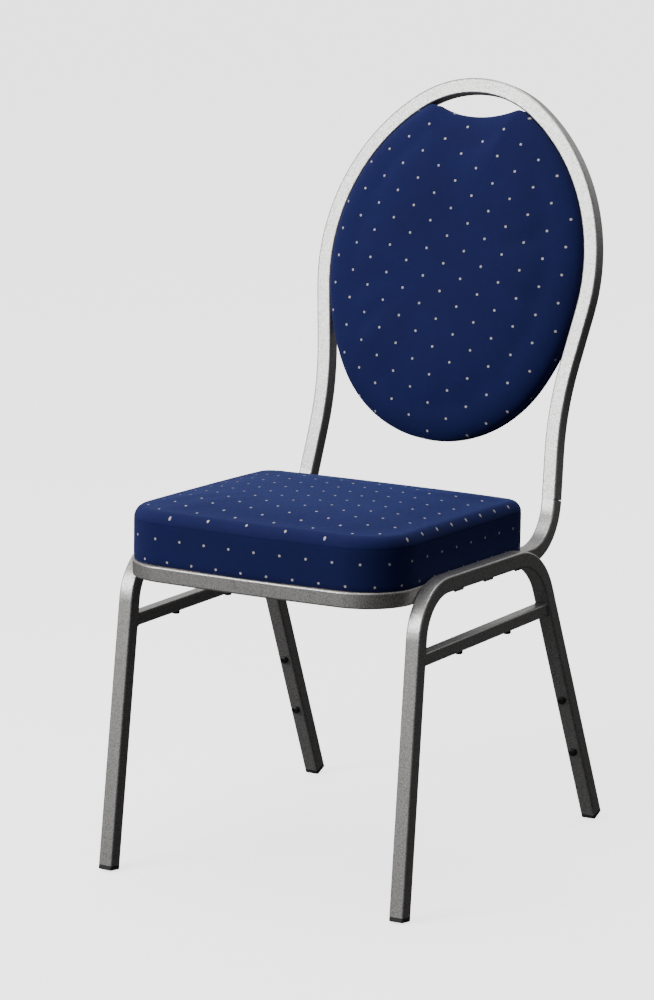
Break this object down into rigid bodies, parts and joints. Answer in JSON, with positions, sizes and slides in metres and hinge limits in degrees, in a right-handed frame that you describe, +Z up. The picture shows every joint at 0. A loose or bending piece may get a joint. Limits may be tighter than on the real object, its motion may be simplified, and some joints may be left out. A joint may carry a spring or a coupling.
{
  "type": "stacking chair",
  "caption": "Stacking banquet chair with a rounded hoop back, dotted navy upholstery and a silver square-tube steel frame.",
  "frame": {"origin": "middle of the chair's outer box, on the floor", "axes": "+Z up from the floor, +X towards the right as seen from the front, -Y towards the front edge of the seat"},
  "size_m": [0.4404, 0.6091, 0.943],
  "materials": {
    "frame_paint": "silver hammertone powder coat",
    "foot_plastic": "fine grained",
    "peg_rubber": "satin",
    "plywood": "bare birch plywood",
    "dotted_fabric": "navy weave with small cream dots",
    "fixings": "zinc plated"
  },
  "bodies": {
    "root": {"back_hoop": "frame_paint", "seat_front_rail": "frame_paint", "seat_crossbar": "frame_paint", "leg_frame_left": "frame_paint", "leg_frame_right": "frame_paint", "side_stretcher_left": "frame_paint", "side_stretcher_right": "frame_paint", "seat_tab_front_left": "frame_paint", "seat_tab_front_right": "frame_paint", "seat_tab_rear_left": "frame_paint", "seat_tab_rear_right": "frame_paint", "back_tab_lower_left": "frame_paint", "back_tab_lower_right": "frame_paint", "back_tab_upper_left": "frame_paint", "back_tab_upper_right": "frame_paint", "foot_cap_front_left": "foot_plastic", "foot_cap_front_right": "foot_plastic", "foot_cap_rear_left": "foot_plastic", "foot_cap_rear_right": "foot_plastic", "stack_peg_leg_low_left": "peg_rubber", "stack_peg_leg_low_right": "peg_rubber", "stack_peg_leg_high_left": "peg_rubber", "stack_peg_leg_high_right": "peg_rubber", "stack_peg_bar_front_left": "peg_rubber", "stack_peg_bar_front_right": "peg_rubber", "stack_peg_bar_rear_left": "peg_rubber", "stack_peg_bar_rear_right": "peg_rubber", "seat_board": "plywood", "back_board": "plywood", "seat_pad": "dotted_fabric", "back_pad": "dotted_fabric", "back_panel": "dotted_fabric", "seat_screws": "fixings", "seat_inserts": "fixings", "back_screws": "fixings"}
  },
  "joints": []
}
